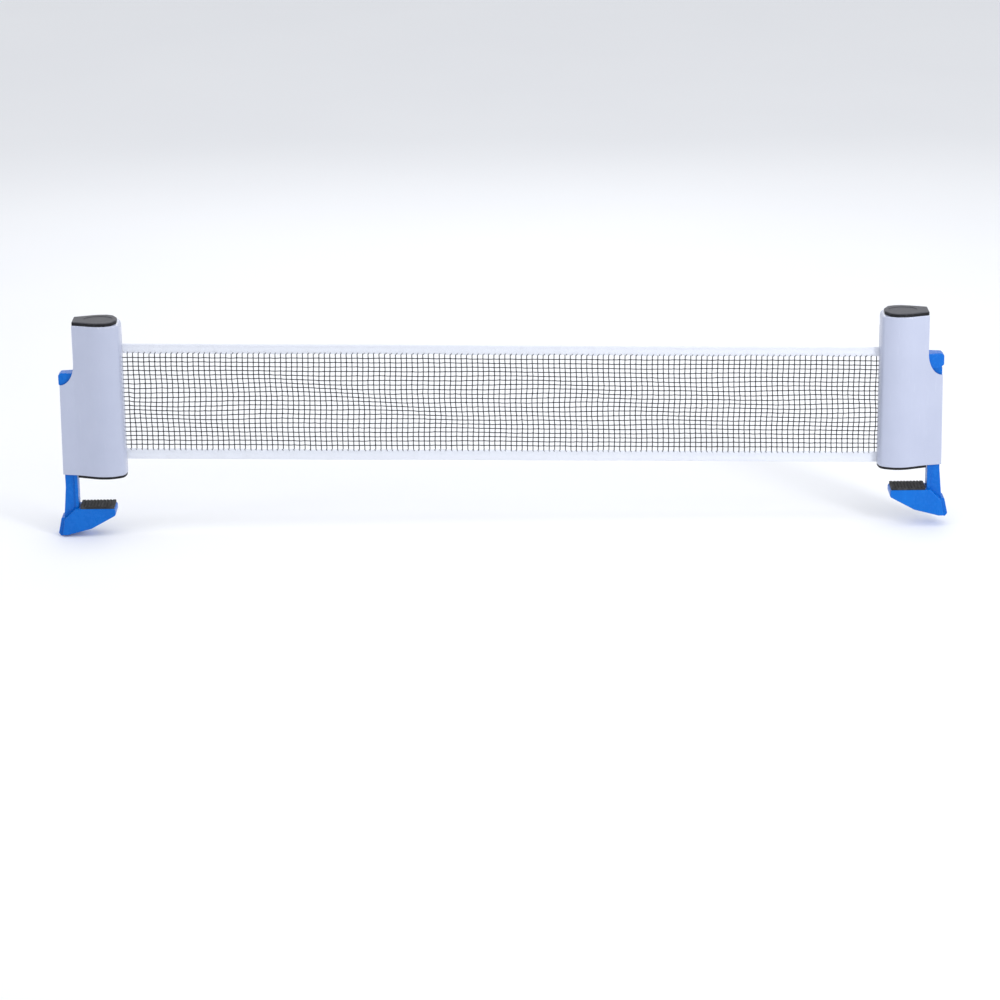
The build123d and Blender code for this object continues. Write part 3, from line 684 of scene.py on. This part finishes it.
def bottom_section(along):
    """A flat tape with a doubled upper edge and a soft hem at the bottom."""
    top = BOTTOM_TAPE + 0.0003 * math.sin(along * 97)
    heights = (0.0, 0.0004, 0.0016, 0.0022, 0.006, 0.0088, 0.0094, top - 0.0003, top)
    thick = (0.0002, 0.0007, 0.0007, 0.00045, 0.00042, 0.00045, 0.00068, 0.00066, 0.0002)
    front = [(half + pucker(along, up), up) for half, up in zip(thick, heights)]
    back = [(pucker(along, up) - half, up) for half, up in zip(thick, heights)]
    return front + back[::-1]


tape_stations = [*np.linspace(0, LEAD_LENGTH, 6)[:-1], *np.linspace(LEAD_LENGTH, NET_LENGTH, 560)]
top_tape = sew_band("top_tape", top_section, tape_stations)
bottom_tape = sew_band("bottom_tape", bottom_section, tape_stations)

thread = Finish("white_sewing_thread")
ply = thread.ribs(thread.x + thread.z, 0.00035)
thread_fuzz = thread.noise(0.0003, 2)
thread_colour = thread.mix(ply, (0.60, 0.62, 0.70), (0.90, 0.91, 0.95))
white_thread = thread.coat_with(thread_colour, thread_fuzz * 0.2 + 0.5, ply, 0.00008)

stitch_tree = dash_tree("stitches", 5, 4, white_thread)


def stitch_row(name, height, pitch, sizes, section_half):
    """A row of stitches on the front of a tape and one on its back."""
    places = []
    count = int((NET_LENGTH - LEAD_LENGTH - 0.004) / pitch)
    for face in (1, -1):
        for number in range(count - count % 2):
            along = LEAD_LENGTH + 0.001 + number * pitch
            places.append(on_net(along, height, face * section_half + pucker(along, height)))
    return grow(name, places, [], stitch_tree, sizes)


zigzag_size = {"Length": 0.00145, "Radius": 0.00026, "Slant": 0.62}
straight_size = {"Length": 0.0011, "Radius": 0.00022, "Slant": math.pi / 2}
top_stitches = stitch_row("top_zigzag", NET_HEIGHT - TOP_TAPE + 0.0026, 0.0017, zigzag_size, 0.00052)
bead_stitches = stitch_row("head_cord_stitches", NET_HEIGHT - 0.0036, 0.0026, straight_size, 0.00050)
bottom_stitches = stitch_row("bottom_zigzag", BOTTOM_TAPE - 0.0022, 0.0017, zigzag_size, 0.00064)
hem_stitches = stitch_row("bottom_hem_stitches", 0.0028, 0.0026, straight_size, 0.00042)

for piece, node in ((top_tape, "net_top_tape"), (bottom_tape, "net_bottom_tape")):
    piece.data.materials.append(white_tape)
    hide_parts(node)
for piece in (top_tape, bottom_tape, top_stitches, bead_stitches, bottom_stitches, hem_stitches):
    stretch_evenly(piece, NOSE_LEFT, NOSE_RIGHT)

# ---------------------------------------------------------------------------------------------------
# Hem: the net's far end is sewn into a sleeve that slips over the rod in the right post. The sleeve is a
# plain round tube of the same white tape.
# ---------------------------------------------------------------------------------------------------

hem_x = (hem_low[0] + hem_high[0]) / 2
hem_outer = (hem_high[0] - hem_low[0]) / 2
HEM_SIDES = 28
HEM_WALL = 0.0006
hem_rings = []
rising = np.linspace(hem_low[2], hem_high[2], 40)
for wall, heights in ((0.0, rising), (HEM_WALL, rising[::-1])):
    for z in heights:
        ring = []
        for step in range(HEM_SIDES):
            angle = math.tau * step / HEM_SIDES
            soft = 0.00012 * math.sin(z * 310 + angle * 2) if wall == 0.0 else 0.0
            radius = hem_outer - wall + soft - 0.0001
            ring.append((hem_x + radius * math.cos(angle), radius * math.sin(angle), z))
        hem_rings.append(ring)
end_hem = skin("end_hem", hem_rings, looped=True)
end_hem.data.materials.append(white_tape)
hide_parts("net_end_hem")
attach(end_hem, "right_post")

# ---------------------------------------------------------------------------------------------------
# Wound net: the length that isn't drawn out lies in layers round the roller, tapes above and below and
# the dark mesh between them. Each layer is a sheet that rests on the one under it.
# ---------------------------------------------------------------------------------------------------

layers = Finish("wound_layers")
layer_weave = layers.ribs(layers.z, 0.0007)
layer_slub = layers.noise(0.0008, 3)
cells = layers.step(layers.ribs(layers.z, 0.0056), 0.82, 0.96)
meshy = layers.step(layers.z, roll_low[2] + BOTTOM_TAPE - 0.0003, roll_low[2] + BOTTOM_TAPE)
meshy = meshy * (1 - layers.step(layers.z, roll_high[2] - TOP_TAPE, roll_high[2] - TOP_TAPE + 0.0003))
layer_colour = layers.mix(layer_weave * 0.4 + layer_slub * 0.3, (0.74, 0.76, 0.82), (0.90, 0.91, 0.95))
netting_colour = layers.mix(cells, (0.055, 0.055, 0.062), (0.012, 0.012, 0.015))
layer_colour = layers.mix(meshy, layer_colour, netting_colour)
wound_cloth = layers.coat_with(layer_colour, layer_slub * 0.1 + 0.65, layer_weave + layer_slub, 0.0002)

WINDS = 5
STEPS = 44
roll_outer = (roll_high[0] - roll_low[0]) / 2
roll_inner = 0.0063
LAYER_HALF = 0.0004
ROLL_MARGIN = 0.0006
edges_up = (roll_low[2], roll_low[2] + BOTTOM_TAPE, roll_high[2] - TOP_TAPE, roll_high[2])
winds = []
for step in range(WINDS * STEPS + 1):
    share = step / (WINDS * STEPS)
    angle = share * WINDS * math.tau
    middle = roll_inner + (roll_outer - ROLL_MARGIN - roll_inner) * share
    ring = []
    for half, heights in ((LAYER_HALF, edges_up), (-LAYER_HALF, edges_up[::-1])):
        for z in heights:
            radius = middle + half
            ring.append((radius * math.cos(angle), radius * math.sin(angle), z))
    winds.append(ring)
wound_net = skin("wound_net", winds)
wound_net.data.materials.append(wound_cloth)
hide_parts("net_roll")
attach(wound_net, "roller")

# ---------------------------------------------------------------------------------------------------
# Studio: a plain pale floor just under the clamps, a white surround and soft boxes, seen from in front
# and a little above.
# ---------------------------------------------------------------------------------------------------

floor_mesh = bpy.data.meshes.new("floor")
FLOOR_GAP = 0.0005
FLOOR_REACH = 20
floor_z = cad_box[0][2] - FLOOR_GAP
floor_corners = [
    (across * FLOOR_REACH, away * FLOOR_REACH, floor_z)
    for across, away in ((-1, -1), (1, -1), (1, 1), (-1, 1))
]
floor_mesh.from_pydata(floor_corners, [], [(0, 1, 2, 3)])
floor = new_piece("floor", floor_mesh)
paper = Finish("pale_paper")
paper_tone = paper.noise(0.4, 2)
paper_colour = paper.mix(paper_tone, (0.90, 0.905, 0.93), (0.93, 0.935, 0.955))
floor.data.materials.append(paper.coat_with(paper_colour, paper_tone * 0.05 + 0.8, paper_tone, 0.0001))

world = bpy.data.worlds.new("surround")
bpy.context.scene.world = world
world.use_nodes = True
world.node_tree.nodes["Background"].inputs["Color"].default_value = (0.95, 0.97, 1.0, 1)
world.node_tree.nodes["Background"].inputs["Strength"].default_value = 0.80
bpy.context.scene.view_settings.view_transform = "Standard"


def soft_box(name, place, aim, width, height, power):
    lamp = bpy.data.lights.new(name, "AREA")
    lamp.shape = "RECTANGLE"
    lamp.size = width
    lamp.size_y = height
    lamp.energy = power
    holder = bpy.data.objects.new(name, lamp)
    holder.location = place
    holder.rotation_euler = (Vector(aim) - Vector(place)).to_track_quat("-Z", "Y").to_euler()
    bpy.context.scene.collection.objects.link(holder)


CENTRE = (0.482, 0.0, 0.08)
soft_box("overhead", (0.48, -0.3, 2.0), CENTRE, 2.6, 1.2, 12)
soft_box("front_right", (2.0, -1.5, 1.0), CENTRE, 0.45, 1.4, 20)
soft_box("left_strip", (-1.2, -0.5, 0.7), CENTRE, 0.2, 1.2, 1.5)
soft_box("back_strip", (0.48, 1.6, 0.9), CENTRE, 1.8, 0.6, 4)

lens = bpy.data.cameras.new("camera")
lens.lens = 110
lens.sensor_width = 36
lens.shift_y = -0.22
lens.clip_start = 0.01
lens.clip_end = 100
camera = bpy.data.objects.new("camera", lens)
bpy.context.scene.collection.objects.link(camera)
camera.location = (0.482, -3.558, 1.264)
tilt = Matrix.Rotation(math.radians(90 - 16), 3, "X")
camera.rotation_euler = (tilt @ Matrix.Rotation(math.radians(-0.69), 3, "Z")).to_euler()
bpy.context.scene.camera = camera
